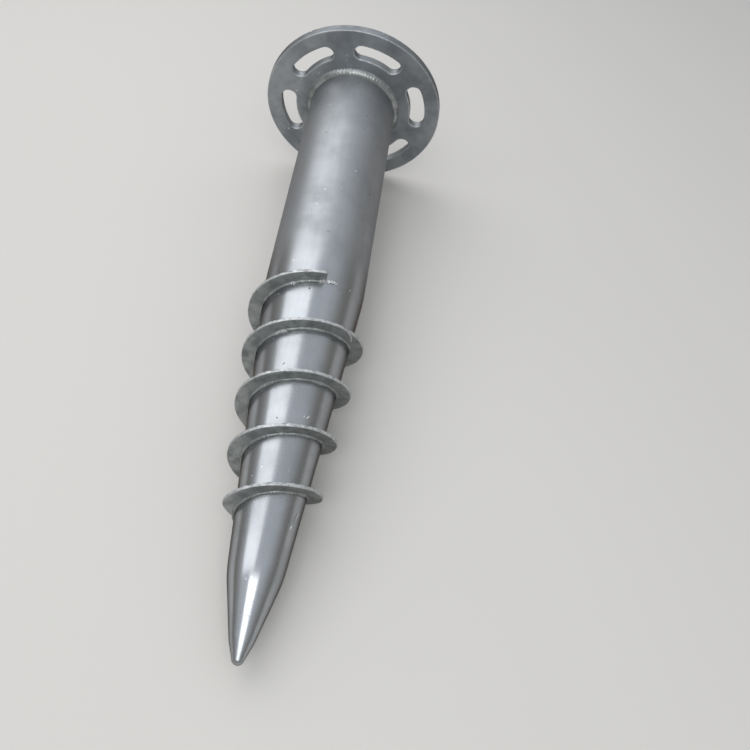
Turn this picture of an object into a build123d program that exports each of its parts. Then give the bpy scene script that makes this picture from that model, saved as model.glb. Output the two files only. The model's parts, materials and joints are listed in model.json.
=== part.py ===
from build123d import *
import os
from math import atan, cos, degrees, floor, radians, sin

# Flanged foundation ground screw: a steel tube with a swaged point, a rolled strip wound
# round the tapered part as a right-handed flight, and a slotted round flange on the top end.
# It is drawn along its own axis, Z running from the flange down to the point, and is then
# laid on its side. Lengths are millimetres, angles are degrees.

# Tube
tube_diameter = 114.3
tube_wall = 4.0
straight_length = 325.0       # parallel tube between the flange and the start of the taper
swage_blend_radius = 280.0    # where the parallel tube turns into the taper
shoulder_diameter = 53.0      # where the taper turns into the point
shoulder_blend_radius = 150.0
shoulder_wall = 5.5           # swaging thickens the wall
point_length = 78.5
nose_length = 20.0            # the point's last stretch, which closes in faster
nose_diameter = 23.0          # where the nose starts
nose_blend_radius = 60.0
point_diameter = 8.0          # across the blunt end, before it is rounded
point_rounding = 5.4
closed_length = 34.0          # forged shut from here to the end of the point
cavity_end_diameter = 12.0

# Flange plate
flange_diameter = 236.0
flange_thickness = 12.0
flange_edge_chamfer = 0.8     # round the rim and the slots, both sides
flange_bore_clearance = 0.3   # radial, round the tube
tube_end_recess = 3.5         # the tube stops short of the flange's outer face
slot_count = 6
slot_circle_diameter = 176.0
slot_width = 19.5
slot_sweep_angle = 29.0       # between the centres of a slot's round ends
slot_clocking = 41.0          # first slot's middle, from the side that lies uppermost

# Flight: flat strip on edge
flight_pitch = 59.5
flight_height = 15.0
flight_thickness = 4.5
flight_root_gap = 0.1         # the strip is carried by its welds
flight_setback = 20.0         # from the start of the taper to the flight's upper end
flight_clocking = -22.0       # upper end of the flight, from the side that lies uppermost
flight_sweep_angle = 1562.0
flight_runout = 56.0          # plain taper between the flight's lower end and the shoulder
upper_ramp_angle = 8.0        # the strip's upper end is cut off steeply
lower_ramp_angle = 38.0       # its lower end is cut down to the tube over this angle

# Weld beads
flange_weld_leg = 7.0
seal_weld_leg = 3.0
flight_weld_leg = 3.5
weld_seat_gap = 0.01          # fit of the flight's beads on the taper

# Places along the axis, from the flange's inner face
tube_radius = tube_diameter / 2
flange_radius = flange_diameter / 2
flight_length = flight_pitch * flight_sweep_angle / 360
flight_start = straight_length + flight_setback
flight_end = flight_start + flight_length
shoulder_station = flight_end + flight_runout
point_station = shoulder_station + point_length
taper_slope = (tube_diameter - shoulder_diameter) / 2 / (shoulder_station - straight_length)
taper_angle = degrees(atan(taper_slope))


def taper_radius(station):
    """Outside radius of the tapered tube at a distance from the flange's inner face."""
    return tube_radius - (station - straight_length) * taper_slope


def shaft_tube():
    """Tube, taper and closed point, turned as one wall round the axis."""
    top = tube_end_recess - flange_thickness
    outside = FilletPolyline(
        (tube_radius, top),
        (tube_radius, straight_length),
        (shoulder_diameter / 2, shoulder_station),
        (nose_diameter / 2, point_station - nose_length),
        (point_diameter / 2, point_station),
        (0, point_station),
        radius=[swage_blend_radius, shoulder_blend_radius, nose_blend_radius, point_rounding],
    )
    cavity_end = point_station - closed_length
    inside = FilletPolyline(
        (0, cavity_end),
        (cavity_end_diameter / 2, cavity_end),
        (shoulder_diameter / 2 - shoulder_wall, shoulder_station),
        (tube_radius - tube_wall, straight_length),
        (tube_radius - tube_wall, top),
        radius=[point_rounding, shoulder_blend_radius, swage_blend_radius],
    )
    rim = Line(inside @ 1, outside @ 0)
    core = Line(outside @ 1, inside @ 0)
    section = Plane.XZ * make_face(outside.edges() + inside.edges() + [rim, core])
    return revolve(section, Axis.Z)


def flange_plate():
    """Round plate with curved bolt slots, slipped over the tube."""
    outline = Circle(flange_radius)
    for number in range(slot_count):
        first = slot_clocking - slot_sweep_angle / 2 + number * 360 / slot_count
        centre_line = CenterArc((0, 0), slot_circle_diameter / 2, first, slot_sweep_angle)
        outline -= SlotArc(centre_line, slot_width)
    plate = extrude(outline, -flange_thickness)
    flat_faces = plate.faces().filter_by(Axis.Z)
    plate = chamfer(flat_faces.edges(), flange_edge_chamfer)
    return plate - extrude(Circle(tube_radius + flange_bore_clearance), -flange_thickness)


def weld_ring(corner_radius, corner_station, radial_leg, axial_leg):
    """Fillet weld with its square corner at a radius and a place along the axis."""
    corner = (corner_radius, corner_station)
    section = Polyline(
        corner,
        (corner_radius + radial_leg, corner_station),
        (corner_radius, corner_station + axial_leg),
        close=True,
    )
    return revolve(Plane.XZ * make_face(section), Axis.Z)


def flight_path():
    """Right-handed helix on the taper, from the flight's upper end to its lower end."""
    helix = Helix(
        pitch=flight_pitch / cos(radians(taper_angle)),
        height=flight_length,
        radius=taper_radius(flight_start),
        cone_angle=-taper_angle,
    )
    return Pos(0, 0, flight_start) * Rot(0, 0, flight_clocking) * helix


def wound(profile):
    """Wind a closed profile of (height above the taper, distance along it) round the shaft."""
    path = flight_path()
    start = path @ 0
    outward = Vector(cos(radians(flight_clocking)), sin(radians(flight_clocking)), 0)
    section_plane = Plane(origin=start, x_dir=outward, z_dir=path % 0)
    points = [(height - along * taper_slope, -along) for height, along in profile]
    section = section_plane * make_face(Polyline(*points, close=True))
    return sweep(section, path=path, is_frenet=True)


def ramp_cutter(end_angle, ramp_angle, station):
    """Block whose flat side runs from the strip's outer edge down to the tube at its end."""
    root = taper_radius(station)
    crest = root + flight_height
    root_point = Vector(root, 0).rotate(Axis.Z, end_angle)
    crest_point = Vector(crest, 0).rotate(Axis.Z, end_angle - ramp_angle)
    run = root_point - crest_point
    middle = (root_point + crest_point) * 0.5 + Vector(0, 0, station)
    outward = run.cross(Vector(0, 0, 1))
    if outward.dot(middle) < 0:
        outward = -outward
    side = Plane(origin=middle, x_dir=run, z_dir=outward)
    reach = 2 * crest
    block = Box(reach, flight_pitch, reach, align=(Align.CENTER, Align.CENTER, Align.MIN))
    return side * block


def end_cutters():
    """Both ramp blocks, for the strip's upper and lower ends."""
    lower_angle = flight_clocking + flight_sweep_angle
    return [
        ramp_cutter(flight_clocking, -upper_ramp_angle, flight_start),
        ramp_cutter(lower_angle, lower_ramp_angle, flight_end),
    ]


def helix_flight():
    """Strip on edge, its ends ramped down to the tube."""
    half = flight_thickness / 2
    root = flight_root_gap
    strip = wound([(root, -half), (flight_height, -half), (flight_height, half), (root, half)])
    for cutter in end_cutters():
        strip -= cutter
    return strip


def flight_weld(side):
    """Fillet weld along one side of the strip: side is -1 above it and 1 below it."""
    root = side * flight_thickness / 2
    toe = root + side * flight_weld_leg
    bead = wound([(weld_seat_gap, root), (flight_weld_leg, root), (weld_seat_gap, toe)])
    for cutter in end_cutters():
        bead -= cutter
    return bead


def lying_angle():
    """Slope of the axis when the flange's rim and the flight, or the point, meet the ground."""
    lowest_angle = 180 - flight_clocking
    turns = floor((flight_sweep_angle - lower_ramp_angle - lowest_angle) / 360)
    touching = [(point_diameter / 2, point_station), (shoulder_diameter / 2, shoulder_station)]
    touching.append((tube_radius, straight_length))
    for turn in range(turns + 1):
        station = flight_start + flight_pitch * (lowest_angle / 360 + turn)
        radius = taper_radius(station) + flight_height
        radius -= flight_thickness / 2 * taper_slope
        touching.append((radius, station + flight_thickness / 2))
    return atan(min((flange_radius - radius) / station for radius, station in touching))


parts = {
    "shaft_tube": shaft_tube(),
    "flange_plate": flange_plate(),
    "helix_flight": helix_flight(),
    "flange_weld": weld_ring(tube_radius, 0, flange_weld_leg, flange_weld_leg),
    "flange_seal_weld": weld_ring(
        tube_radius + flange_bore_clearance, tube_end_recess - flange_thickness,
        -seal_weld_leg, -seal_weld_leg),
    "flight_weld_upper": flight_weld(-1),
    "flight_weld_lower": flight_weld(1),
}

# Lay the screw down along Y, flange towards +Y and point towards -Y
slope = lying_angle()
lying_plane = Plane(
    origin=(0, 0, flange_radius * cos(slope)),
    x_dir=(0, -sin(slope), cos(slope)),
    z_dir=(0, -cos(slope), -sin(slope)),
)
laid = {name: lying_plane * solid for name, solid in parts.items()}
box = Compound(children=[Compound(solid.wrapped) for solid in laid.values()]).bounding_box()
centred = Pos(0, -box.center().Y, -box.min.Z)

os.makedirs("parts", exist_ok=True)
for name, solid in laid.items():
    export_step(centred * solid, f"parts/{name}.step")
print("lying slope", round(degrees(slope), 3), "taper angle", round(taper_angle, 3))
print("length from inner face to point", round(point_station, 2))
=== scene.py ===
import json
import math
import bmesh
import bpy
import numpy as np
from mathutils import Matrix, Vector


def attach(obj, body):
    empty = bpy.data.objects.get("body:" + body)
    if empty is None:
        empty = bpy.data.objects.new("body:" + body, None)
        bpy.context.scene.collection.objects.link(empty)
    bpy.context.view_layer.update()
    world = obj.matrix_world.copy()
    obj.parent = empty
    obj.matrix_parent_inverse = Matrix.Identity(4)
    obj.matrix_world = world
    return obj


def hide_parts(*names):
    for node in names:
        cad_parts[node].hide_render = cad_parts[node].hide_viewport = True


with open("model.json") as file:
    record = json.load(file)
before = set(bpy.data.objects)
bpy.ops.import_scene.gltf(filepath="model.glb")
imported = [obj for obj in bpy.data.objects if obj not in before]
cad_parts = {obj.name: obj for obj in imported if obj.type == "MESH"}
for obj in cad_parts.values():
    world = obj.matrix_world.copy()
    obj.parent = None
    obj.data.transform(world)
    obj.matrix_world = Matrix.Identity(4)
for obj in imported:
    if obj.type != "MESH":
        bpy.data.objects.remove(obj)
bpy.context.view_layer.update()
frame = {"nodes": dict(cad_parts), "record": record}
print("frame loaded:", len(frame["nodes"]), "solids")

# Every piece is drawn along the screw's own axis, Z running from the flange to the point,
# X to the side that lies uppermost, and is then laid down with one matrix.

tube = {
    "diameter": 0.1143,
    "wall": 0.004,
    "straightLength": 0.325,
    "swageBlend": 0.28,
    "shoulderDiameter": 0.053,
    "shoulderBlend": 0.15,
    "shoulderWall": 0.0055,
    "pointLength": 0.0785,
    "noseLength": 0.02,
    "noseDiameter": 0.023,
    "noseBlend": 0.06,
    "pointDiameter": 0.008,
    "pointRounding": 0.0054,
    "closedLength": 0.034,
    "cavityEndDiameter": 0.012,
    "endRounding": 0.0007,
    "columns": 216,
    "straightSpacing": 0.0032,
    "taperSpacing": 0.0026,
    "pointSpacing": 0.0005,
    "boreSpacing": 0.015,
    "rimSpacing": 0.001,
    "ridgeSpacing": 0.0023,      # faint rings left on the point by its forming
    "ridgeHeight": 0.000028,
}

plate = {
    "diameter": 0.236,
    "thickness": 0.012,
    "boreClearance": 0.0003,
    "tubeEndRecess": 0.0035,
    "edgeRounding": 0.0011,
    # the edge band below is a painted highlight as well as wear, along the slots and the rim
    "edgeWearAndHighlight": (0.0016, 0.0004),    # the brighter line along the edges starts and is full
    "rimWearAndHighlight": 0.6,
    "slotCount": 6,
    "slotCircleDiameter": 0.176,
    "slotWidth": 0.0195,
    "slotSweepDegrees": 29.0,
    "slotClockingDegrees": 41.0,
    "rimColumns": 100,       # along a sixth of the rim
    "capColumns": 30,        # round a slot's end
    "boreColumns": 60,       # along a sixth of the bore
    "faceRows": 16,
    "backRows": 8,
    "wallRows": 10,
    "slotRows": 5,
}

flight = {
    "pitch": 0.0595,
    "height": 0.015,
    "thickness": 0.0045,
    "setback": 0.0208264,        # upper end, from the start of the taper
    "clockingDegrees": -17.0,
    "sweepDegrees": 1557.0,
    "runout": 0.056,             # plain taper between the lower end and the shoulder
    "upperRampDegrees": 2.5,
    "lowerRampDegrees": 38.0,
    "crestThinning": 0.1,
}

tubeRadius = tube["diameter"] / 2
flightStart = tube["straightLength"] + flight["setback"]
flightLength = flight["pitch"] * flight["sweepDegrees"] / 360
shoulderStation = flightStart + flightLength + flight["runout"]
pointStation = shoulderStation + tube["pointLength"]
taperLength = shoulderStation - tube["straightLength"]
taperSlope = (tube["diameter"] - tube["shoulderDiameter"]) / 2 / taperLength
tubeEnd = plate["tubeEndRecess"] - plate["thickness"]
holeRadius = tubeRadius + plate["boreClearance"]
slotRadius = plate["slotCircleDiameter"] / 2
slotReach = math.radians(plate["slotSweepDegrees"] / 2)


def taperRadius(station):
    return tubeRadius - (station - tube["straightLength"]) * taperSlope


def layingMatrix():
    slots = next(m for m in frame["record"]["mounts"] if m["name"] == "flange_slots")
    outward = Vector(slots["axis"])
    along = -outward
    side = Vector((-1, 0, 0))
    upper = side.cross(along)
    centre = Vector(slots["pos_m"]) + along * plate["thickness"]
    columns = Matrix((upper, side, along)).transposed().to_4x4()
    return Matrix.Translation(centre) @ columns


laying = layingMatrix()


def addObject(name, data):
    made = bpy.data.objects.new(name, data)
    bpy.context.collection.objects.link(made)
    return made


# Small helpers for node trees, used by the shape trees and by the materials

def plug(socket, value):
    # a node stands for its first output
    if isinstance(value, bpy.types.Node):
        value = value.outputs[0]
    if isinstance(value, bpy.types.NodeSocket):
        socket.id_data.links.new(value, socket)
    else:
        socket.default_value = value


def plugAll(node, values):
    for name, value in values.items():
        plug(node.inputs[name], value)


def addNode(tree, kind, inputs=None, **settings):
    node = tree.nodes.new(kind)
    for name, value in settings.items():
        setattr(node, name, value)
    plugAll(node, inputs or {})
    return node


def calc(operation, *values):
    # at least one of the values is a socket, whose tree the node joins
    tree = next(value.id_data for value in values if isinstance(value, bpy.types.NodeSocket))
    inputs = dict(enumerate(values))
    return addNode(tree, "ShaderNodeMath", inputs, operation=operation).outputs[0]


def plus(first, second):
    return calc("ADD", first, second)


def minus(first, second):
    return calc("SUBTRACT", first, second)


def times(first, second):
    return calc("MULTIPLY", first, second)


def blendRange(value, fromLow, fromHigh, toLow=0.0, toHigh=1.0):
    return addNode(value.id_data, "ShaderNodeMapRange", {
        "Value": value, "From Min": fromLow, "From Max": fromHigh, "To Min": toLow,
        "To Max": toHigh}, interpolation_type="SMOOTHSTEP").outputs["Result"]


def mixColours(share, first, second):
    return addNode(share.id_data, "ShaderNodeMix", {
        0: share, 6: first, 7: second}, data_type="RGBA").outputs[2]


socketKinds = {float: "NodeSocketFloat", int: "NodeSocketInt", tuple: "NodeSocketColor"}


def newTree(name, kind, inputs, outputs):
    # an input is given with its first value, or with its kind where it has none
    tree = bpy.data.node_groups.new(name, kind)
    for label, value in inputs.items():
        socketKind = socketKinds.get(type(value), value)
        socket = tree.interface.new_socket(label, in_out="INPUT", socket_type=socketKind)
        if socketKind != value:
            socket.default_value = value
    for label, socketKind in outputs.items():
        tree.interface.new_socket(label, in_out="OUTPUT", socket_type=socketKind)
    given = tree.nodes.new("NodeGroupInput")
    result = tree.nodes.new("NodeGroupOutput")
    return tree, given.outputs, result.inputs


def newShapeTree(name, inputs):
    shape = {"Geometry": "NodeSocketGeometry"}
    inputs = {**shape, **inputs, "Material": "NodeSocketMaterial"}
    return newTree(name, "GeometryNodeTree", inputs, shape)


def scatterNoise(place, size, seed, detail=2.0):
    # noise of a feature size in metres, with its own seed
    tree = place.id_data
    scale = addNode(tree, "ShaderNodeMath", {0: 1.0, 1: size}, operation="DIVIDE")
    return addNode(tree, "ShaderNodeTexNoise", {
        "Vector": place, "W": seed, "Scale": scale, "Detail": detail,
    }, noise_dimensions="4D").outputs[0]


def coat(tree, geometry, given, result):
    # the last two nodes of every shape tree
    real = addNode(tree, "GeometryNodeRealizeInstances", {"Geometry": geometry})
    plug(result["Geometry"], addNode(tree, "GeometryNodeSetMaterial", {
        "Geometry": real, "Material": given["Material"]}))


# Geometry Nodes: a bar or bead wound round the tapered tube

windingShape = {
    "wanderSize": 0.011,         # how far apart a bead's ripples and size drift
    "swellBias": 0.15,
    "bowTurns": 4.0,             # ripples bow in the middle of the bead
    "bowDepth": 0.3,
    "thicknessRamp": 5.0,        # thickness comes up this much sooner than height
    "endMargin": 1e-6,
    "crestEdge": (0.93, 0.995),  # share of the way up where the bright edge starts and is full
    "mergeDistance": 0.00001,
}


def windingTree():
    shape = windingShape
    tree, given, result = newShapeTree("windRoundTaper", {
        "Start Angle": 0.0,
        "Sweep Angle": 6.283,
        "Pitch": 0.0,
        "Start Station": 0.0,
        "Start Radius": 0.05,
        "Slope": 0.0,
        "Half Height": 0.003,
        "Half Thickness": 0.003,
        "Lift": 0.0,
        "Shift": 0.0,
        "Roundness": 1.0,
        "Lowest": -0.002,
        "Highest": 0.1,
        "Start Ramp": 0.001,
        "End Ramp": 0.001,
        "Crest Thinning": 0.0,
        "Ripple Pitch": 0.003,
        "Ripple Depth": 0.0,
        "Ripple Jitter": 0.0,
        "Swell": 0.0,
        "Steps Along": 800,
        "Steps Around": 16,
        "Seed": 0.0,
    })
    grid = addNode(tree, "GeometryNodeMeshGrid", {
        "Vertices X": given["Steps Along"], "Vertices Y": given["Steps Around"]})
    corner = addNode(tree, "ShaderNodeSeparateXYZ", {
        "Vector": addNode(tree, "GeometryNodeInputPosition")}).outputs
    along = plus(corner["X"], 0.5)
    around = times(plus(corner["Y"], 0.5), 2 * math.pi)

    turned = times(given["Sweep Angle"], along)
    angle = plus(given["Start Angle"], turned)
    travel = times(given["Pitch"], calc("DIVIDE", turned, 2 * math.pi))
    rootRadius = minus(given["Start Radius"], times(travel, given["Slope"]))
    rootStation = plus(given["Start Station"], travel)

    def onCylinder(radius, station):
        return addNode(tree, "ShaderNodeCombineXYZ", {
            "X": times(calc("COSINE", angle), radius),
            "Y": times(calc("SINE", angle), radius),
            "Z": station}).outputs[0]

    def cornered(wave):
        strength = calc("POWER", calc("ABSOLUTE", wave), given["Roundness"])
        return times(calc("SIGN", wave), strength)

    up = cornered(calc("COSINE", around))
    forward = cornered(calc("SINE", around))

    margin = shape["endMargin"]
    rise = calc("DIVIDE", plus(along, margin), given["Start Ramp"])
    fall = calc("DIVIDE", minus(1 + margin, along), given["End Ramp"])
    ramp = blendRange(calc("MINIMUM", rise, fall), 0.0, 1.0)
    thickRamp = calc("MINIMUM", times(ramp, shape["thicknessRamp"]), 1.0)

    # stacked ripples, bowed in the middle of the bead, with uneven spacing
    radiusSum = plus(given["Start Radius"], rootRadius)
    length = times(turned, times(radiusSum, 0.5))
    spine = onCylinder(rootRadius, rootStation)
    wander = minus(scatterNoise(spine, shape["wanderSize"], given["Seed"]), 0.5)
    phase = calc("DIVIDE", length, given["Ripple Pitch"])
    phase = plus(phase, times(wander, given["Ripple Jitter"]))
    bow = times(calc("COSINE", times(around, shape["bowTurns"])), shape["bowDepth"])
    saw = calc("FRACT", plus(phase, bow))
    hollow = calc("POWER", minus(times(saw, 2.0), 1.0), 2.0)
    swell = times(plus(wander, shape["swellBias"]), given["Swell"])
    size = minus(1.0, times(hollow, given["Ripple Depth"]))
    size = minus(size, calc("MAXIMUM", swell, 0.0))

    height = times(times(up, given["Half Height"]), size)
    height = times(plus(height, given["Lift"]), ramp)
    height = calc("MAXIMUM", height, given["Lowest"])
    height = calc("MINIMUM", height, given["Highest"])
    crest = times(plus(up, 1.0), 0.5)
    thin = minus(1.0, times(crest, given["Crest Thinning"]))
    depth = times(times(forward, given["Half Thickness"]), size)
    depth = plus(times(depth, thin), given["Shift"])
    depth = times(depth, thickRamp)
    place = onCylinder(plus(rootRadius, height), plus(rootStation, depth))

    # the edge mask is kept on the mesh before the grid is wrapped
    # the crest's edge mask lightens the outer edge in the materials: partly a painted highlight,
    # partly worn zinc
    edge = blendRange(crest, *shape["crestEdge"])
    keptEdge = addNode(tree, "GeometryNodeStoreNamedAttribute", {
        "Geometry": grid, "Name": "edge", "Value": edge})
    wrapped = addNode(tree, "GeometryNodeSetPosition", {
        "Geometry": keptEdge, "Position": place})
    joined = addNode(tree, "GeometryNodeMergeByDistance", {
        "Geometry": wrapped, "Distance": shape["mergeDistance"]})
    smooth = addNode(tree, "GeometryNodeSetShadeSmooth", {"Geometry": joined})
    coat(tree, smooth, given, result)
    return tree


# Geometry Nodes: the unevenness of dipped zinc, always inwards from the true surface

nickShape = {"detail": 4.0, "range": (0.38, 0.7)}


def dippedTree():
    tree, given, result = newShapeTree("dippedSurface", {
        "Wave Size": 0.02,
        "Wave Depth": 0.0002,
        "Wave Stretch": 1.0,
        "Dimple Size": 0.004,
        "Dimple Depth": 0.00005,
        "Edge Size": 0.003,
        "Edge Depth": 0.0,
        "Seed": 0.0,
    })
    position = addNode(tree, "GeometryNodeInputPosition").outputs[0]
    stretch = addNode(tree, "ShaderNodeCombineXYZ", {
        "X": 1.0, "Y": 1.0, "Z": given["Wave Stretch"]})
    longPlace = addNode(tree, "ShaderNodeVectorMath", {
        0: position, 1: stretch}, operation="MULTIPLY").outputs[0]
    wave = scatterNoise(longPlace, given["Wave Size"], given["Seed"])
    dimple = scatterNoise(position, given["Dimple Size"], given["Seed"])
    nick = scatterNoise(position, given["Edge Size"], given["Seed"], nickShape["detail"])
    nick = blendRange(nick, *nickShape["range"])
    edge = addNode(tree, "GeometryNodeInputNamedAttribute", {
        "Name": "edge"}).outputs["Attribute"]
    inward = times(wave, given["Wave Depth"])
    inward = plus(inward, times(dimple, given["Dimple Depth"]))
    inward = plus(inward, times(times(nick, edge), given["Edge Depth"]))
    normal = addNode(tree, "GeometryNodeInputNormal")
    push = addNode(tree, "ShaderNodeVectorMath", {
        0: normal, "Scale": times(inward, -1.0)}, operation="SCALE")
    moved = addNode(tree, "GeometryNodeSetPosition", {
        "Geometry": given["Geometry"], "Offset": push})
    coat(tree, moved, given, result)
    return tree


# Geometry Nodes: weld spatter and beads of zinc, thickest where a mask says

lumpShape = {
    "sizeSkew": 3.0,     # most lumps are small
    "subdivisions": 2,
}


def lumpTree():
    tree, given, result = newShapeTree("surfaceLumps", {
        "Density": 1000.0,
        "Smallest": 0.0003,
        "Largest": 0.001,
        "Length Ratio": 1.0,
        "Height Ratio": 0.5,
        "Seed": 1,
    })
    mask = addNode(tree, "GeometryNodeInputNamedAttribute", {
        "Name": "lumps"}).outputs["Attribute"]
    points = addNode(tree, "GeometryNodeDistributePointsOnFaces", {
        "Mesh": given["Geometry"],
        "Density": times(given["Density"], mask),
        "Seed": given["Seed"]}, distribute_method="RANDOM")
    draw = addNode(tree, "FunctionNodeRandomValue", {
        "Seed": given["Seed"]}, data_type="FLOAT")
    skew = calc("POWER", draw.outputs[1], lumpShape["sizeSkew"])
    span = minus(given["Largest"], given["Smallest"])
    size = plus(given["Smallest"], times(skew, span))
    scale = addNode(tree, "ShaderNodeCombineXYZ", {
        "X": times(size, given["Length Ratio"]),
        "Y": size,
        "Z": times(size, given["Height Ratio"])})
    lump = addNode(tree, "GeometryNodeMeshIcoSphere", {
        "Radius": 1.0, "Subdivisions": lumpShape["subdivisions"]})
    smooth = addNode(tree, "GeometryNodeSetShadeSmooth", {"Geometry": lump})
    spread = addNode(tree, "GeometryNodeInstanceOnPoints", {
        "Points": points, "Instance": smooth, "Rotation": points.outputs["Rotation"],
        "Scale": scale})
    coat(tree, spread, given, result)
    return tree


windRoundTaper = windingTree()
dippedSurface = dippedTree()
surfaceLumps = lumpTree()
print("shape trees built")


def grow(mesh, steps):
    # runs the trees on a mesh, one after another, and gives back a plain mesh
    carrier = addObject("carrier", mesh)
    for tree, values in steps:
        modifier = carrier.modifiers.new(tree.name, "NODES")
        modifier.node_group = tree
        named = {item.name: item.identifier for item in tree.interface.items_tree
                 if item.item_type == "SOCKET" and item.in_out == "INPUT"}
        for name, value in values.items():
            modifier[named[name]] = value
    graph = bpy.context.evaluated_depsgraph_get()
    grown = bpy.data.meshes.new_from_object(carrier.evaluated_get(graph))
    carrier.modifiers.clear()
    bpy.data.objects.remove(carrier)
    return grown


def finishPiece(name, mesh, stoodFor=None):
    mesh.name = name
    mesh.transform(laying)
    piece = addObject(name, mesh)
    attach(piece, "root")
    if stoodFor:
        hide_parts(stoodFor)
    print("piece", name, "with", len(mesh.polygons), "faces")
    return piece


mergeDistance = 0.000002


def gridFaces(rows, columns, first=0):
    # faces of a grid of points that closes on itself across its columns
    faces = []
    for row in range(rows - 1):
        near, far = first + row * columns, first + (row + 1) * columns
        for column in range(columns):
            following = (column + 1) % columns
            faces.append((near + column, near + following, far + following, far + column))
    return faces


def meshFrom(points, faces):
    mesh = bpy.data.meshes.new("shape")
    mesh.from_pydata([tuple(p) for p in points], [], faces)
    shape = bmesh.new()
    shape.from_mesh(mesh)
    bmesh.ops.remove_doubles(shape, verts=shape.verts, dist=mergeDistance)
    bmesh.ops.recalc_face_normals(shape, faces=shape.faces)
    shape.to_mesh(mesh)
    shape.free()
    mesh.polygons.foreach_set("use_smooth", [True] * len(mesh.polygons))
    return mesh


def corners(mesh):
    values = np.empty(len(mesh.vertices) * 3)
    mesh.vertices.foreach_get("co", values)
    return values.reshape(-1, 3)


def setMask(mesh, name, values):
    mask = mesh.attributes.new(name, "FLOAT", "POINT")
    mask.data.foreach_set("value", np.clip(values, 0, 1).astype(np.float32))


def polar(radius, angle, *heights):
    # points at a radius and an angle, with their height where it is given
    values = radius * np.cos(angle), radius * np.sin(angle), *heights
    return np.stack(np.broadcast_arrays(*values), axis=-1)


def fade(values, low, high):
    # smooth step from 0 at low to 1 at high, either way round
    share = np.clip((values - low) / (high - low), 0, 1)
    return share * share * (3 - 2 * share)


# Materials: zinc from the dip, in shared groups

zincTints = {
    "lightZinc": (0.455, 0.475, 0.50, 1),
    "dullZinc": (0.375, 0.395, 0.415, 1),
    "darkZinc": (0.10, 0.11, 0.11, 1),
    "brightZinc": (0.64, 0.66, 0.68, 1),
}

patinaShape = {
    "patchDetail": 3.0,
    "patchRange": (0.33, 0.7),
    "grainDetail": 2.0,
    "streakDetail": 3.0,
    "grainHeight": 0.35,
    "patchHeight": 0.4,
}


def patinaGroup():
    shape = patinaShape
    tree, given, result = newTree("zincPatina", "ShaderNodeTree", {
        "Place": "NodeSocketVector",
        "Light Zinc": zincTints["lightZinc"],
        "Dull Zinc": zincTints["dullZinc"],
        "Patch Size": 0.03,
        "Spangle Size": 0.009,
        "Spangle Strength": 0.3,
        "Grain Size": 0.0012,
        "Grain Strength": 0.35,
        "Long Place": "NodeSocketVector",
        "Streak Size": 0.005,
        "Streak Strength": 0.0,
        "Smooth Roughness": 0.26,
        "Dull Roughness": 0.46,
        "Seed": 0.0,
    }, {"Color": "NodeSocketColor", "Roughness": "NodeSocketFloat", "Height": "NodeSocketFloat"})
    place, seed = given["Place"], given["Seed"]

    def shifted(value, strength):
        return times(minus(value, 0.5), strength)

    patch = scatterNoise(place, given["Patch Size"], seed, shape["patchDetail"])
    patch = blendRange(patch, *shape["patchRange"])
    cells = addNode(tree, "ShaderNodeTexVoronoi", {
        "Vector": place,
        "Scale": calc("DIVIDE", 1.0, given["Spangle Size"])}, feature="SMOOTH_F1")
    tone = addNode(tree, "ShaderNodeSeparateColor", {"Color": cells.outputs["Color"]})
    spangle = shifted(tone.outputs[0], given["Spangle Strength"])
    grain = scatterNoise(place, given["Grain Size"], seed, shape["grainDetail"])
    streak = scatterNoise(given["Long Place"], given["Streak Size"], seed,
                          shape["streakDetail"])
    dull = plus(patch, spangle)
    dull = plus(dull, shifted(grain, given["Grain Strength"]))
    dull = plus(dull, shifted(streak, given["Streak Strength"]))
    dull = calc("MINIMUM", calc("MAXIMUM", dull, 0.0), 1.0)
    rough = addNode(tree, "ShaderNodeMapRange", {
        "Value": dull, "To Min": given["Smooth Roughness"], "To Max": given["Dull Roughness"]})
    height = plus(times(grain, shape["grainHeight"]), times(patch, shape["patchHeight"]))
    plug(result["Color"], mixColours(dull, given["Light Zinc"], given["Dull Zinc"]))
    plug(result["Roughness"], rough.outputs["Result"])
    plug(result["Height"], height)
    return tree


markShape = {
    "largestDot": 0.28,          # share of a cell
    "speckSeed": 1.0,
    "pitSeed": 7.0,
    "scratchRange": (0.66, 0.72),
    "scratchPatch": 0.05,        # scratches gather in patches of this size
    "scratchEnd": 0.75,
}


def marksGroup():
    shape = markShape
    tree, given, result = newTree("smallMarks", "ShaderNodeTree", {
        "Place": "NodeSocketVector",
        "Long Place": "NodeSocketVector",
        "Speck Size": 0.004,
        "Speck Share": 0.2,
        "Pit Size": 0.003,
        "Pit Share": 0.2,
        "Scratch Size": 0.0016,
        "Scratch Share": 0.3,
        "Seed": 0.0,
    }, {name: "NodeSocketFloat" for name in ("Specks", "Pits", "Scratches")})

    def dots(size, share, shift):
        cells = addNode(tree, "ShaderNodeTexVoronoi", {
            "Vector": given["Place"], "W": plus(given["Seed"], shift),
            "Scale": calc("DIVIDE", 1.0, size)}, voronoi_dimensions="4D")
        draw = addNode(tree, "ShaderNodeSeparateColor", {"Color": cells.outputs["Color"]})
        reach = times(draw.outputs[1], shape["largestDot"])
        dot = calc("LESS_THAN", cells.outputs["Distance"], reach)
        chosen = calc("LESS_THAN", draw.outputs[0], share)
        return times(dot, chosen)

    plug(result["Specks"], dots(given["Speck Size"], given["Speck Share"], shape["speckSeed"]))
    plug(result["Pits"], dots(given["Pit Size"], given["Pit Share"], shape["pitSeed"]))
    lines = scatterNoise(given["Long Place"], given["Scratch Size"], given["Seed"], 1.0)
    where = scatterNoise(given["Place"], shape["scratchPatch"], given["Seed"], 1.0)
    narrow = blendRange(lines, *shape["scratchRange"])
    end = shape["scratchEnd"]
    there = blendRange(where, minus(end, given["Scratch Share"]), end)
    plug(result["Scratches"], times(narrow, there))
    return tree


zincPatina = patinaGroup()
smallMarks = marksGroup()

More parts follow.
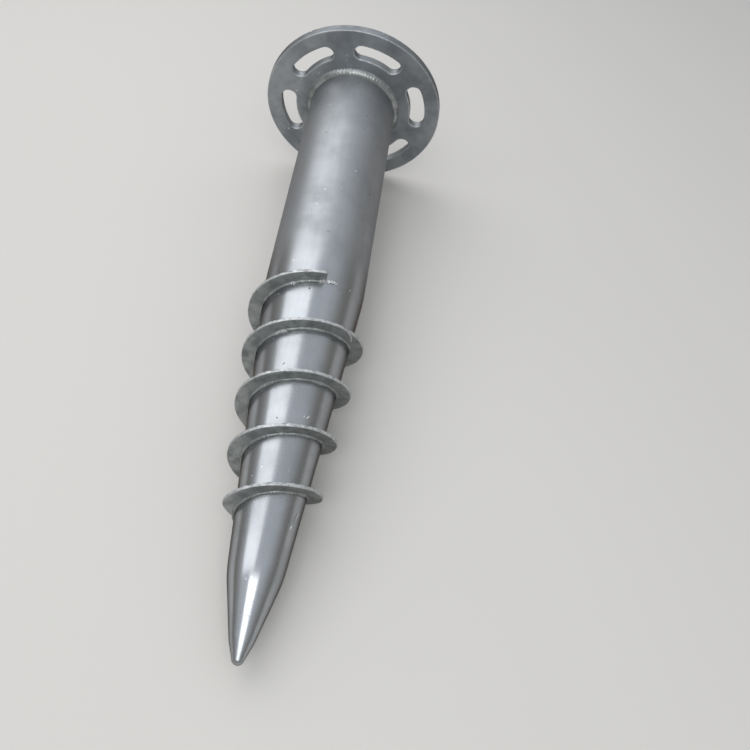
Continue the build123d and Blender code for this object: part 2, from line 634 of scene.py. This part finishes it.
markEffects = {
    # mark: share of its tint, tint, roughness and height that it adds
    "Specks": (0.8, "brightZinc", 0.0, 0.5),
    "Pits": (0.75, "darkZinc", 0.2, -0.7),
    "Scratches": (0.5, "brightZinc", -0.08, 0.0),
}
edgeShape = {"seed": 3.0, "detail": 3.0, "range": (0.3, 0.65)}


def newMaterial(name):
    material = bpy.data.materials.new(name)
    material.use_nodes = True
    tree = material.node_tree
    place = addNode(tree, "ShaderNodeTexCoord").outputs["Object"]
    return material, tree, tree.nodes["Principled BSDF"], place


def zincMaterial(name, values):
    material, tree, shader, place = newMaterial(name)
    longWays = addNode(tree, "ShaderNodeMapping", {"Vector": place}, vector_type="TEXTURE")
    longWays.inputs["Location"].default_value = laying.to_translation()
    longWays.inputs["Rotation"].default_value = laying.to_euler()
    longWays.inputs["Scale"].default_value = (1, 1, values["markStretch"])
    groups = [addNode(tree, "ShaderNodeGroup", {
        "Place": place, "Long Place": longWays}, node_tree=group)
        for group in (zincPatina, smallMarks)]
    for node in groups:
        plugAll(node, {label: value for label, value in values.items() if label in node.inputs})
    patina, marks = (node.outputs for node in groups)
    edge = addNode(tree, "ShaderNodeAttribute", attribute_name="edge").outputs["Fac"]
    edgeNoise = scatterNoise(place, values["edgeBreak"], edgeShape["seed"],
                             edgeShape["detail"])
    wearAndHighlight = blendRange(edgeNoise, *edgeShape["range"], values["edgeLeast"], 1.0)

    def added(base, mask, amount):
        if not amount:
            return base
        return plus(base, times(mask, amount))

    # along the edge mask the colour goes to bright zinc: partly worn zinc, partly a painted
    # highlight on the edges
    colour = mixColours(times(edge, wearAndHighlight), patina["Color"], zincTints["brightZinc"])
    rough, height = patina["Roughness"], patina["Height"]
    for mark, (share, tint, roughness, rise) in markEffects.items():
        mask = marks[mark]
        colour = mixColours(times(mask, share), colour, zincTints[tint])
        rough = added(rough, mask, roughness)
        height = added(height, mask, rise)
    drawnTube = addNode(tree, "ShaderNodeAttribute", attribute_name="drawnTube").outputs["Fac"]
    rough = added(rough, drawnTube, values["drawnRoughness"])
    bump = addNode(tree, "ShaderNodeBump", {
        "Height": height, "Strength": values["bumpStrength"], "Distance": values["bumpDistance"]})
    plugAll(shader, {
        "Base Color": colour, "Roughness": rough, "Normal": bump,
        "Metallic": values["metallic"], "Specular Tint": values["grazingTint"]})
    return material


tubeZinc = {
    "Patch Size": 0.05,
    "Spangle Size": 0.008,
    "Spangle Strength": 0.22,
    "Grain Size": 0.0011,
    "Grain Strength": 0.5,
    "Streak Size": 0.004,
    "Streak Strength": 0.7,
    "Smooth Roughness": 0.20,
    "Dull Roughness": 0.31,
    "Speck Size": 0.006,
    "Speck Share": 0.12,
    "Pit Size": 0.005,
    "Pit Share": 0.05,
    "Scratch Size": 0.0014,
    "Scratch Share": 0.25,
    "Seed": 2.0,
    "markStretch": 14.0,
    "metallic": 0.95,
    "drawnRoughness": 0.24,      # added on the parallel tube
    "edgeBreak": 0.004,
    "edgeLeast": 0.3,
    "grazingTint": (0.15, 0.11, 0.08, 1),
    "bumpStrength": 0.35,
    "bumpDistance": 0.0002,
}
plateZinc = dict(tubeZinc, **{
    "Patch Size": 0.028,
    "Spangle Strength": 0.35,
    "Light Zinc": (0.35, 0.375, 0.395, 1),
    "Dull Zinc": (0.24, 0.26, 0.28, 1),
    "Streak Strength": 0.2,
    "Smooth Roughness": 0.36,
    "Dull Roughness": 0.52,
    "metallic": 0.8,
    "Speck Share": 0.22,
    "Pit Share": 0.25,
    "Seed": 5.0,
    "markStretch": 3.0,
    "bumpStrength": 0.6,
})
stripZinc = dict(tubeZinc, **{
    "Patch Size": 0.012,
    "Spangle Strength": 0.3,
    "Light Zinc": (0.38, 0.40, 0.40, 1),
    "Dull Zinc": (0.22, 0.24, 0.235, 1),
    "Grain Strength": 0.9,
    "Streak Strength": 0.2,
    "Smooth Roughness": 0.40,
    "Dull Roughness": 0.58,
    "metallic": 0.6,
    "Speck Size": 0.003,
    "Speck Share": 0.25,
    "Pit Size": 0.003,
    "Pit Share": 0.25,
    "Seed": 9.0,
    "markStretch": 2.0,
    "bumpStrength": 0.7,
})
weldZinc = dict(stripZinc, **{
    "Dull Zinc": (0.20, 0.22, 0.215, 1),
    "Smooth Roughness": 0.30,
    "Dull Roughness": 0.50,
    "metallic": 0.7,
    "Speck Size": 0.0026,
    "Speck Share": 0.4,
    "Seed": 12.0,
})
freshZinc = dict(weldZinc, **{
    "Light Zinc": (0.76, 0.78, 0.79, 1),
    "Dull Zinc": (0.42, 0.44, 0.44, 1),
    "Smooth Roughness": 0.20,
    "Dull Roughness": 0.34,
    "metallic": 0.4,
    "Seed": 15.0,
})

tubeCoat = zincMaterial("tubeZinc", tubeZinc)
plateCoat = zincMaterial("plateZinc", plateZinc)
stripCoat = zincMaterial("stripZinc", stripZinc)
weldCoat = zincMaterial("weldZinc", weldZinc)
freshCoat = zincMaterial("freshZinc", freshZinc)
print("materials built")


# Tube, taper and point

def roundedPath(cornerPoints, radii, spacings):
    # straight runs joined by arcs, sampled at each run's own spacing
    cornerPoints = [np.array(p, float) for p in cornerPoints]
    points = [cornerPoints[0]]

    def runTo(end, spacing):
        start = points[-1]
        count = max(1, int(np.ceil(np.linalg.norm(end - start) / spacing)))
        for step in range(1, count + 1):
            points.append(start + (end - start) * step / count)

    for index in range(1, len(cornerPoints) - 1):
        before, here, after = cornerPoints[index - 1:index + 2]
        arriving = (here - before) / np.linalg.norm(here - before)
        leaving = (after - here) / np.linalg.norm(after - here)
        turn = math.acos(np.clip(arriving @ leaving, -1, 1))
        radius = radii[index - 1]
        reach = radius * math.tan(turn / 2)
        runTo(here - arriving * reach, spacings[index - 1])
        side = np.array((-arriving[1], arriving[0]))
        side = side if side @ leaving > 0 else -side
        centre = points[-1] + side * radius
        steps = max(3, int(np.ceil(radius * turn / spacings[index - 1])))
        start = points[-1]
        for step in range(1, steps + 1):
            part = turn * step / steps
            points.append(centre + (start - centre) * math.cos(part)
                          + arriving * radius * math.sin(part))
    runTo(cornerPoints[-1], spacings[-1])
    return np.array(points)


def shaftProfile():
    boreRadius = tubeRadius - tube["wall"]
    cavityEnd = pointStation - tube["closedLength"]
    shoulderRadius = tube["shoulderDiameter"] / 2
    spacing = tube["pointSpacing"]
    return roundedPath(
        [
            (0, cavityEnd),
            (tube["cavityEndDiameter"] / 2, cavityEnd),
            (shoulderRadius - tube["shoulderWall"], shoulderStation),
            (boreRadius, tube["straightLength"]),
            (boreRadius, tubeEnd),
            (tubeRadius, tubeEnd),
            (tubeRadius, tube["straightLength"]),
            (shoulderRadius, shoulderStation),
            (tube["noseDiameter"] / 2, pointStation - tube["noseLength"]),
            (tube["pointDiameter"] / 2, pointStation),
            (0, pointStation),
        ],
        [tube["pointRounding"], tube["shoulderBlend"], tube["swageBlend"], tube["endRounding"],
         tube["endRounding"], tube["swageBlend"], tube["shoulderBlend"], tube["noseBlend"],
         tube["pointRounding"]],
        [tube["boreSpacing"]] * 4
        + [tube["rimSpacing"], tube["straightSpacing"], tube["taperSpacing"]] + [spacing] * 3,
    )


ridges = {
    "rampIn": (-0.005, 0.02),        # from the shoulder
    "rampOut": (-0.012, -0.003),     # from the end of the point
    "depth": (0.55, 0.45),
    "depthTurns": (0.13, 0.31),      # slow changes of depth, against the rings
    "drift": (1.3, 0.21),            # of the spacing: amount and turns
}

spatter = {
    # share of the full density
    "bare": (0.03, 0.02),            # on the whole tube, and added past the given stations
    "bareStations": (0.2, 0.5),
    "besideBead": 0.25,
    "belowStrip": (0.34, 0.1),       # in turns from the strip
    "aboveStrip": (0.8, 0.92),
    "byFlange": 0.5,
    "flangeReach": (0.045, 0.01),
    "startAngle": (0.22, 0.25),      # round the flight's upper end: place and width
    "startLength": 0.012,
    "firstStation": 0.008,
}

edgeBand = (0.002, 0.0005)           # from the tube's end: where the bright edge starts, is full
drawnBand = (0.03, -0.06)            # the same for the duller parallel tube, from the taper
surfaceDepth = 0.002                 # what lies nearer the outside than this gets spatter


def shaftMesh():
    path = shaftProfile()
    columns = tube["columns"]
    stations = path[:, 1]
    outer = np.arange(len(path)) > np.argmin(stations)
    # rings on the point, uneven in depth and spacing
    onPoint = fade(stations, *(shoulderStation + place for place in ridges["rampIn"]))
    onPoint *= 1 - fade(stations, *(pointStation + place for place in ridges["rampOut"]))
    turns = 2 * math.pi * (stations - shoulderStation) / tube["ridgeSpacing"]
    slow, slower = ridges["depthTurns"]
    least, more = ridges["depth"]
    onPoint *= least + more * np.sin(turns * slow + 1.0) * np.sin(turns * slower)
    amount, drift = ridges["drift"]
    ring = np.sin(turns + amount * np.sin(turns * drift)) - 1
    radii = path[:, 0] + np.where(outer, onPoint * ring * tube["ridgeHeight"], 0)
    angles = np.arange(columns) * 2 * math.pi / columns
    points = polar(radii[:, None], angles, stations[:, None]).reshape(-1, 3)
    mesh = meshFrom(points, gridFaces(len(path), columns))

    place = corners(mesh)
    station = place[:, 2]
    angle = np.arctan2(place[:, 1], place[:, 0])
    surface = taperRadius(np.maximum(station, tube["straightLength"])) - surfaceDepth
    outside = np.hypot(place[:, 0], place[:, 1]) > surface
    turned = np.mod(angle - math.radians(flight["clockingDegrees"]), 2 * math.pi)
    either = np.where(turned > math.pi, turned - 2 * math.pi, turned)
    before, width = spatter["startAngle"]
    nearStart = np.exp(-((either + before) / width) ** 2)
    nearStart *= np.exp(-((station - flightStart) / spatter["startLength"]) ** 2)
    phase = np.mod((station - flightStart) / flight["pitch"] - turned / (2 * math.pi), 1)
    wound = (station > flightStart) & (station < flightStart + flightLength)
    besideBead = fade(phase, *spatter["belowStrip"]) + fade(phase, *spatter["aboveStrip"])
    besideBead = np.where(wound, besideBead, 0)
    byFlange = fade(station, *spatter["flangeReach"])
    base, rest = spatter["bare"]
    bare = base + rest * fade(station, *spatter["bareStations"])
    lumps = bare + nearStart + spatter["besideBead"] * besideBead + spatter["byFlange"] * byFlange
    setMask(mesh, "lumps", np.where(outside & (station > spatter["firstStation"]), lumps, 0))
    # the edge band at the tube's end is lightened in the materials: partly a painted highlight,
    # partly worn zinc
    setMask(mesh, "edge", fade(station, *(tubeEnd + place for place in edgeBand)))
    taperStart = tube["straightLength"]
    setMask(mesh, "drawnTube", fade(station, *(taperStart + place for place in drawnBand)))
    return mesh


shaftSkin = {"Wave Size": 0.03, "Wave Depth": 0.00012, "Wave Stretch": 0.35,
             "Dimple Size": 0.006, "Dimple Depth": 0.00004, "Seed": 4.0, "Material": tubeCoat}
shaft = grow(shaftMesh(), [(dippedSurface, shaftSkin)])
finishPiece("tubeAndPoint", shaft.copy(), "shaft_tube")


# Flange plate: a ring of six slot sectors, each a grid that follows its slot's outline

def arcPoints(radius, start, end, count):
    return polar(radius, np.linspace(start, end, count, endpoint=False))


def slotOutline(grown):
    half = plate["slotWidth"] / 2 + grown
    reach = slotReach

    def cap(side, start, count):
        angles = side * reach + start + np.linspace(0, math.pi, count, endpoint=False)
        return polar(slotRadius, side * reach) + polar(half, angles)

    return np.concatenate([
        arcPoints(slotRadius + half, -reach, reach, plate["rimColumns"]),
        cap(1, 0, plate["capColumns"]),
        arcPoints(slotRadius - half, reach, -reach, plate["boreColumns"]),
        cap(-1, math.pi, plate["capColumns"]),
    ])


def sectorOutline():
    outer = plate["diameter"] / 2 - plate["edgeRounding"]
    reach = math.pi / plate["slotCount"]

    def side(angle, start, end, count):
        return polar(np.linspace(start, end, count, endpoint=False), angle)

    return np.concatenate([
        arcPoints(outer, -reach, reach, plate["rimColumns"]),
        side(reach, outer, holeRadius, plate["capColumns"]),
        arcPoints(holeRadius, reach, -reach, plate["boreColumns"]),
        side(-reach, holeRadius, outer, plate["capColumns"]),
    ])


def roundedWall(first, rows):
    # (inset, height) down a wall of the plate, with both its edges rounded
    thick, rounding = plate["thickness"], plate["edgeRounding"]
    turns = [step * math.pi / 6 for step in range(first, 4)]
    points = [(rounding * (1 - math.sin(turn)), -rounding * (1 - math.cos(turn)))
              for turn in turns]
    points += [(0, -rounding - (thick - 2 * rounding) * step / rows)
               for step in range(1, rows + first)]
    return points + [(rounding * (1 - math.cos(turn)), -thick + rounding * (1 - math.sin(turn)))
                     for turn in turns]


def plateRing(radius, height, count):
    start = math.radians(plate["slotClockingDegrees"]) - math.pi / plate["slotCount"]
    angles = start + np.arange(count) * 2 * math.pi / count
    return polar(radius, angles, height)


plateLumpShape = {
    "least": 0.15,                   # share of the full density on the inner face
    "bySlots": 0.6,                  # added at the slots' edges
    "slotReach": (0.008, 0.002),
    "faceDepth": 0.001,
    "weldWidth": 0.009,              # none under the weld
    "slotMargin": 0.001,
}


def plateMesh():
    thick, rounding = plate["thickness"], plate["edgeRounding"]
    outline = sectorOutline()
    flatSlot = slotOutline(rounding)
    rows = []

    def addRow(shape, height):
        rows.append(np.column_stack([shape, np.full(len(shape), height)]))

    for step in range(plate["faceRows"], -1, -1):
        addRow(flatSlot + (outline - flatSlot) * (step / plate["faceRows"]), 0)
    for inset, height in roundedWall(1, plate["slotRows"]):
        addRow(slotOutline(inset), height)
    for step in range(1, plate["backRows"] + 1):
        addRow(flatSlot + (outline - flatSlot) * (step / plate["backRows"]), -thick)

    points, faces = [], []

    def addGrid(grid):
        faces.extend(gridFaces(len(grid), len(grid[0]), len(points)))
        for row in grid:
            points.extend(row)

    clocking = math.radians(plate["slotClockingDegrees"])
    for number in range(plate["slotCount"]):
        turn = clocking + number * 2 * math.pi / plate["slotCount"]
        across, along = math.cos(turn), math.sin(turn)
        spin = np.array(((across, along, 0), (-along, across, 0), (0, 0, 1)))
        addGrid([row @ spin for row in rows])
    outer = plate["diameter"] / 2
    rimCount = plate["rimColumns"] * plate["slotCount"]
    addGrid([plateRing(outer - inset, height, rimCount)
             for inset, height in roundedWall(0, plate["wallRows"])])
    boreCount = plate["boreColumns"] * plate["slotCount"]
    addGrid([plateRing(holeRadius, height, boreCount) for height in (0, -thick)])
    mesh = meshFrom(points, faces)

    place = corners(mesh)
    radius = np.hypot(place[:, 0], place[:, 1])
    fromFace = np.minimum(np.abs(place[:, 2]), np.abs(place[:, 2] + thick))
    wearAndHighlightRange = plate["edgeWearAndHighlight"]
    onRim = fade(np.hypot(outer - radius, fromFace), *wearAndHighlightRange)
    turn = np.arctan2(place[:, 1], place[:, 0]) - clocking
    sector = 2 * math.pi / plate["slotCount"]
    turn = np.mod(turn + sector / 2, sector) - sector / 2
    held = np.clip(turn, -slotReach, slotReach)
    gap = np.hypot(radius * np.cos(turn) - slotRadius * np.cos(held),
                   radius * np.sin(turn) - slotRadius * np.sin(held)) - plate["slotWidth"] / 2
    onSlot = fade(np.hypot(gap, fromFace), *wearAndHighlightRange)
    # the edge mask lightens the slot outlines and the rim: a painted highlight as well as wear;
    # it also sets the nicks
    setMask(mesh, "edge", np.maximum(plate["rimWearAndHighlight"] * onRim, onSlot))
    shape = plateLumpShape
    lumps = shape["least"] + shape["bySlots"] * fade(gap, *shape["slotReach"])
    lumps = np.where(place[:, 2] > -shape["faceDepth"], lumps, 0) * (1 - onRim)
    lumps *= (radius > tubeRadius + shape["weldWidth"]) * (gap > shape["slotMargin"])
    setMask(mesh, "lumps", lumps)
    return mesh


plateSkin = {"Wave Size": 0.022, "Wave Depth": 0.0002, "Dimple Size": 0.004,
             "Dimple Depth": 0.00008, "Edge Size": 0.0022, "Edge Depth": 0.0004, "Seed": 6.0,
             "Material": plateCoat}
flange = grow(plateMesh(), [(dippedSurface, plateSkin)])
finishPiece("flangePlate", flange.copy(), "flange_plate")


# Flight strip and its weld beads

sweep = math.radians(flight["sweepDegrees"])
stripWinding = {
    "Start Angle": math.radians(flight["clockingDegrees"]),
    "Sweep Angle": sweep,
    "Pitch": flight["pitch"],
    "Start Station": flightStart,
    "Start Radius": taperRadius(flightStart),
    "Slope": taperSlope,
    "Half Height": flight["height"] / 2,
    "Half Thickness": flight["thickness"] / 2,
    "Lift": flight["height"] / 2,
    "Roundness": 0.16,
    "Lowest": 0.0,
    "Start Ramp": math.radians(flight["upperRampDegrees"]) / sweep,
    "End Ramp": math.radians(flight["lowerRampDegrees"]) / sweep,
    "Crest Thinning": flight["crestThinning"],
    "Steps Along": 2300,
    "Steps Around": 37,
    "Seed": 1.0,
    "Material": stripCoat,
}
stripSkin = {"Wave Size": 0.014, "Wave Depth": 0.0003, "Dimple Size": 0.0035,
             "Dimple Depth": 0.00015, "Edge Size": 0.006, "Edge Depth": 0.0005, "Seed": 8.0,
             "Material": stripCoat}
emptyMesh = bpy.data.meshes.new("nothing")
strip = grow(emptyMesh, [(windRoundTaper, stripWinding), (dippedSurface, stripSkin)])
finishPiece("flightStrip", strip, "helix_flight")

beadLeg = 0.0027
beadWinding = dict(stripWinding, **{
    "Half Height": beadLeg,
    "Half Thickness": beadLeg,
    "Lift": 0.0,
    "Roundness": 1.6,
    "Lowest": -0.0012,
    "Start Ramp": 0.002,
    "End Ramp": 0.002,
    "Crest Thinning": 0.0,
    "Ripple Pitch": 0.0034,
    "Ripple Depth": 0.26,
    "Ripple Jitter": 2.2,
    "Swell": 1.5,
    "Steps Along": 3400,
    "Steps Around": 15,
    "Material": weldCoat,
})
for name, side, node in (("flightBeadUpper", -1, "flight_weld_upper"),
                         ("flightBeadLower", 1, "flight_weld_lower")):
    winding = dict(beadWinding, Shift=side * flight["thickness"] / 2, Seed=20.0 + side)
    bead = grow(emptyMesh, [(windRoundTaper, winding)])
    finishPiece(name, bead, node)

rippleCount = 88         # round the flange's bead
ringWinding = dict(beadWinding, **{
    "Start Angle": 0.0,
    "Sweep Angle": 2 * math.pi,
    "Pitch": 0.0,
    "Slope": 0.0,
    "Start Ramp": 1e-6,
    "End Ramp": 1e-6,
    "Start Station": 0.0,
    "Start Radius": tubeRadius,
    "Half Height": 0.007,
    "Half Thickness": 0.007,
    "Roundness": 1.3,
    "Lowest": -0.002,
    "Ripple Pitch": 2 * math.pi * tubeRadius / rippleCount,
    "Ripple Depth": 0.055,
    "Ripple Jitter": 1.0,
    "Swell": 0.35,
    "Steps Along": 900,
    "Steps Around": 25,
    "Seed": 31.0,
})
flangeBead = grow(emptyMesh, [(windRoundTaper, ringWinding)])
finishPiece("flangeBead", flangeBead, "flange_weld")
sealWinding = dict(ringWinding, **{
    "Start Station": tubeEnd,
    "Start Radius": holeRadius,
    "Half Height": 0.003,
    "Half Thickness": 0.003,
    "Lowest": -0.1,
    "Highest": 0.001,
    "Seed": 37.0,
})
sealBead = grow(emptyMesh, [(windRoundTaper, sealWinding)])
finishPiece("sealBead", sealBead, "flange_seal_weld")


# Tack welds on the flight's first two turns, and zinc that ran and set

tacks = {
    # name: first angle, sweep (degrees), height, half thickness, shift from the strip's
    # middle (metres), seed
    "tackBeyondEnd": (-30.5, 13.0, 0.0034, 0.0036, 0.0008, 41.0),
    "tackUnderEnd": (-17.5, 10.0, 0.0062, 0.0034, 0.0024, 43.0),
    # the tack by the start: a real bead shape, whose pale fresh zinc is also a painted glint on
    # the first turn's root
    "tackWithPaintedGlint": (14.0, 20.0, 0.0036, 0.0036, 0.0022, 47.0),
    "tackOnSecondTurn": (374.0, 22.0, 0.0032, 0.0032, 0.0022, 53.0),
}
tackWinding = dict(beadWinding, **{
    "Roundness": 1.2,
    "Start Ramp": 0.3,
    "End Ramp": 0.35,
    "Ripple Pitch": 0.0031,
    "Ripple Depth": 0.5,
    "Swell": 1.6,
    "Steps Along": 110,
    "Steps Around": 21,
    "Material": freshCoat,
})
for name, (first, reach, height, half, shift, seed) in tacks.items():
    tackStation = flightStart + flight["pitch"] * (first - flight["clockingDegrees"]) / 360
    tackBead = grow(emptyMesh, [(windRoundTaper, dict(tackWinding, **{
        "Start Angle": math.radians(first),
        "Sweep Angle": math.radians(reach),
        "Start Station": tackStation,
        "Start Radius": taperRadius(tackStation),
        "Half Height": height,
        "Half Thickness": half,
        "Shift": shift,
        "Seed": seed,
    }))])
    finishPiece(name, tackBead)

# points along each run: angle (degrees), distance along the axis, height above the tube and
# thickness (mm)
zincRuns = [
    [(-46, 402.9, 14.6, 0.7), (-52, 402.2, 13.6, 1.1), (-57, 401.4, 11.2, 1.2),
     (-62, 400.6, 8.0, 1.1), (-66, 400.0, 6.6, 0.6)],
    [(-37, 502.0, 0.2, 0.6), (-34, 504.5, 0.8, 1.1), (-32, 507.0, 0.5, 0.7)],
    [(-29, 503.5, 0.1, 0.5), (-28, 505.5, 0.4, 0.7), (-28, 507.0, 0.1, 0.4)],
    [(-67, 595.0, 0.1, 0.4), (-64, 600.0, 0.4, 0.7), (-61, 605.0, 0.3, 0.5),
     (-58, 609.0, 0.1, 0.4)],
    [(-56, 611.0, 0.1, 0.5), (-55, 613.5, 0.4, 0.8), (-54, 616.0, 0.1, 0.4)],
    [(-50, 340.5, 0.1, 0.4), (-49, 342.0, 0.3, 0.6), (-48, 343.5, 0.1, 0.4)],
    [(12, 451.0, 0.1, 0.4), (14, 452.5, 0.4, 0.8), (15, 454.0, 0.1, 0.5)],
]
runShape = {
    "rings": 10,         # points round a run
    "samples": 8,        # for each of its points
    "smoothing": 7,      # samples averaged
    "endAngle": 0.05,
    "endFullness": 3,
}


def runPart(knots):
    knots = np.array(knots, float)
    around, smoothing = runShape["rings"], runShape["smoothing"]
    count = runShape["samples"] * len(knots)
    share = np.linspace(0, len(knots) - 1, count)

    def smooth(values):
        drawn = np.interp(share, np.arange(len(knots)), values)
        drawn = np.pad(drawn, smoothing // 2, mode="edge")
        return np.convolve(drawn, np.ones(smoothing) / smoothing, "valid")

    angle, station, height, size = (smooth(values) for values in knots.T)
    angle, station = np.radians(angle), station / 1000
    radius = taperRadius(np.maximum(station, tube["straightLength"])) + height / 1000
    centre = polar(radius, angle, station)
    end = runShape["endAngle"]
    ends = np.sin(np.linspace(end, math.pi - end, count)) * runShape["endFullness"]
    size = size / 1000 * np.sqrt(np.clip(ends, 0, 1))
    ahead = np.gradient(centre, axis=0)
    ahead /= np.linalg.norm(ahead, axis=1)[:, None]
    side = np.cross(ahead, polar(1, angle, 0))
    side /= np.linalg.norm(side, axis=1)[:, None]
    over = np.cross(side, ahead)
    rings = []
    for turn in np.arange(around) * 2 * math.pi / around:
        rings.append(centre + size[:, None] * (math.cos(turn) * side + math.sin(turn) * over))
    points = np.stack(rings, axis=1).reshape(-1, 3)
    ends = [tuple(range(around)), tuple(range((count - 1) * around, count * around))]
    return points, ends + gridFaces(count, around)


def runsMesh():
    points, faces = [], []
    for knots in zincRuns:
        partPoints, partFaces = runPart(knots)
        faces.extend(tuple(i + len(points) for i in face) for face in partFaces)
        points.extend(partPoints)
    return meshFrom(points, faces)


runSkin = {"Wave Size": 0.0016, "Wave Depth": 0.0003, "Dimple Size": 0.001,
           "Dimple Depth": 0.0001, "Seed": 14.0, "Material": freshCoat}
finishPiece("zincRuns", grow(runsMesh(), [(dippedSurface, runSkin)]))


# Spatter and lumps of zinc

tubeLumps = {"Density": 26000.0, "Smallest": 0.00022, "Largest": 0.0011,
             "Height Ratio": 0.45, "Seed": 3, "Material": weldCoat}
finishPiece("tubeSpatter", grow(shaft, [(surfaceLumps, tubeLumps)]))
plateLumps = {"Density": 16000.0, "Smallest": 0.0003, "Largest": 0.0012, "Height Ratio": 0.35,
              "Length Ratio": 1.6, "Seed": 5, "Material": plateCoat}
finishPiece("plateLumps", grow(flange, [(surfaceLumps, plateLumps)]))
print("pieces made")


# Floor, light and camera

studio = {
    "floorSize": 14.0,
    "floorColour": (0.64, 0.625, 0.60, 1),
    "wallColour": (0.24, 0.225, 0.20, 1),    # the room, low down
    "ceilingColour": (0.66, 0.69, 0.73, 1),
    "wallTop": 0.1,          # heights where the one turns into the other
    "ceilingStart": 0.85,
    "floorPatch": 0.4,       # size of the floor's patches, and their change of roughness
    "floorRange": (0.3, 0.7),
    "floorRoughness": (0.75, 0.9),
    "floorShine": 0.2,
}

lamps = {
    # name: place, aim, width across the screw, length along it, power, colour
    "leftPanel": ((-0.62, 0.45, 1.27), (0, 0, 0.06), 1.4, 2.2, 11.0, (1.0, 0.99, 0.985)),
    "frontPanel": ((0.1, -1.3, 1.75), (0, 0, 0.1), 1.4, 1.1, 13.0, (1.0, 0.995, 0.985)),
}

view = {
    "fromFlange": (0.0823, -0.9632, 0.6086),    # from the middle of the flange's inner face
    "downDegrees": 50.46,
    "rollDegrees": 8.27,
    "lens": 38.03,
    "sensor": 36.0,
    "clipStart": 0.01,
}


def floorMaterial():
    material, tree, shader, place = newMaterial("paleFloor")
    patch = scatterNoise(place, studio["floorPatch"], 1.0, 3.0)
    rough = blendRange(patch, *studio["floorRange"], *studio["floorRoughness"])
    plugAll(shader, {"Roughness": rough, "Base Color": studio["floorColour"],
                     "Specular IOR Level": studio["floorShine"]})
    return material


def layFloor():
    half = studio["floorSize"] / 2
    mesh = bpy.data.meshes.new("floor")
    corner = [(-half, -half, 0), (half, -half, 0), (half, half, 0), (-half, half, 0)]
    mesh.from_pydata(corner, [], [(0, 1, 2, 3)])
    mesh.materials.append(floorMaterial())
    floor = addObject("floor", mesh)


def hangLamps():
    for name, (place, aim, width, length, power, colour) in lamps.items():
        data = bpy.data.lights.new(name, "AREA")
        data.shape = "RECTANGLE"
        data.size, data.size_y = width, length
        data.energy, data.color = power, colour
        lamp = addObject(name, data)
        lamp.location = place
        back = (Vector(place) - Vector(aim)).normalized()
        along = (Vector((0, 1, 0)) - back * back.y).normalized()
        lamp.rotation_euler = Matrix((along.cross(back), along, back)).transposed().to_euler()


def placeCamera():
    data = bpy.data.cameras.new("camera")
    data.lens = view["lens"]
    data.sensor_width = view["sensor"]
    data.clip_start = view["clipStart"]
    camera = addObject("camera", data)
    place = laying.to_translation() + Vector(view["fromFlange"])
    tilt = Matrix.Rotation(math.radians(90 - view["downDegrees"]), 4, "X")
    roll = Matrix.Rotation(math.radians(view["rollDegrees"]), 4, "Z")
    camera.matrix_world = Matrix.Translation(place) @ tilt @ roll
    bpy.context.scene.camera = camera


def fillWorld():
    world = bpy.data.worlds.new("studioAir")
    bpy.context.scene.world = world
    world.use_nodes = True
    tree = world.node_tree
    place = addNode(tree, "ShaderNodeTexCoord").outputs["Generated"]
    height = addNode(tree, "ShaderNodeSeparateXYZ", {"Vector": place}).outputs["Z"]
    share = blendRange(height, studio["wallTop"], studio["ceilingStart"])
    sky = mixColours(share, studio["wallColour"], studio["ceilingColour"])
    plug(tree.nodes["Background"].inputs["Color"], sky)


layFloor()
hangLamps()
placeCamera()
fillWorld()
bpy.context.scene.view_settings.view_transform = "Standard"
print("studio set")
